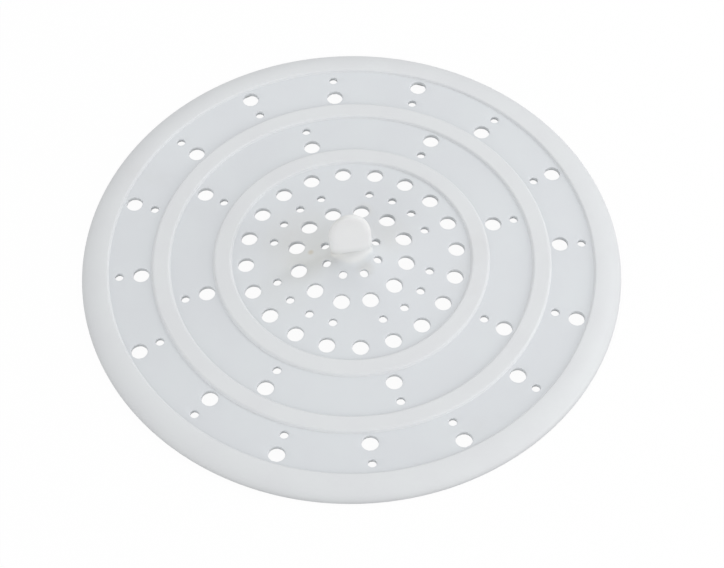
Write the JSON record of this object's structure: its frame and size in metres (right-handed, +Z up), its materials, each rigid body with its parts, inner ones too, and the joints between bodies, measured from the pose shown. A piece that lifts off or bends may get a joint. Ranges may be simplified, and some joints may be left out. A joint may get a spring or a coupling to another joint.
{
  "type": "sink strainer",
  "caption": "Flat round silicone sink strainer with perforated webs between raised ribs, a thick rounded rim that seals on the sink and an upright pull tab that bends at its root.",
  "frame": {"origin": "middle of the plane that the rim's underside rests on", "axes": "+Z up, the way the tab is pulled; +X along the width of the pull tab, which is also the line it bends about"},
  "size_m": [0.15, 0.15, 0.024],
  "materials": {
    "silicone_web": "satin white silicone, thin and faintly bluish",
    "silicone_thick": "satin white silicone"
  },
  "bodies": {
    "strainer": {"outer_rim": "silicone_thick", "outer_web": "silicone_web", "outer_rib": "silicone_thick", "middle_web": "silicone_web", "inner_rib": "silicone_thick", "centre_panel": "silicone_web", "tab_root": "silicone_thick"},
    "tab": {"pull_tab": "silicone_thick"}
  },
  "joints": [
    {"name": "tab_bend", "type": "hinge", "parent": "strainer", "child": "tab", "pos_m": [0, 0, 0.0097], "axis": [1, 0, 0], "range_deg": [-70, 70], "stiffness_Nm_per_rad": 0.006}
  ]
}
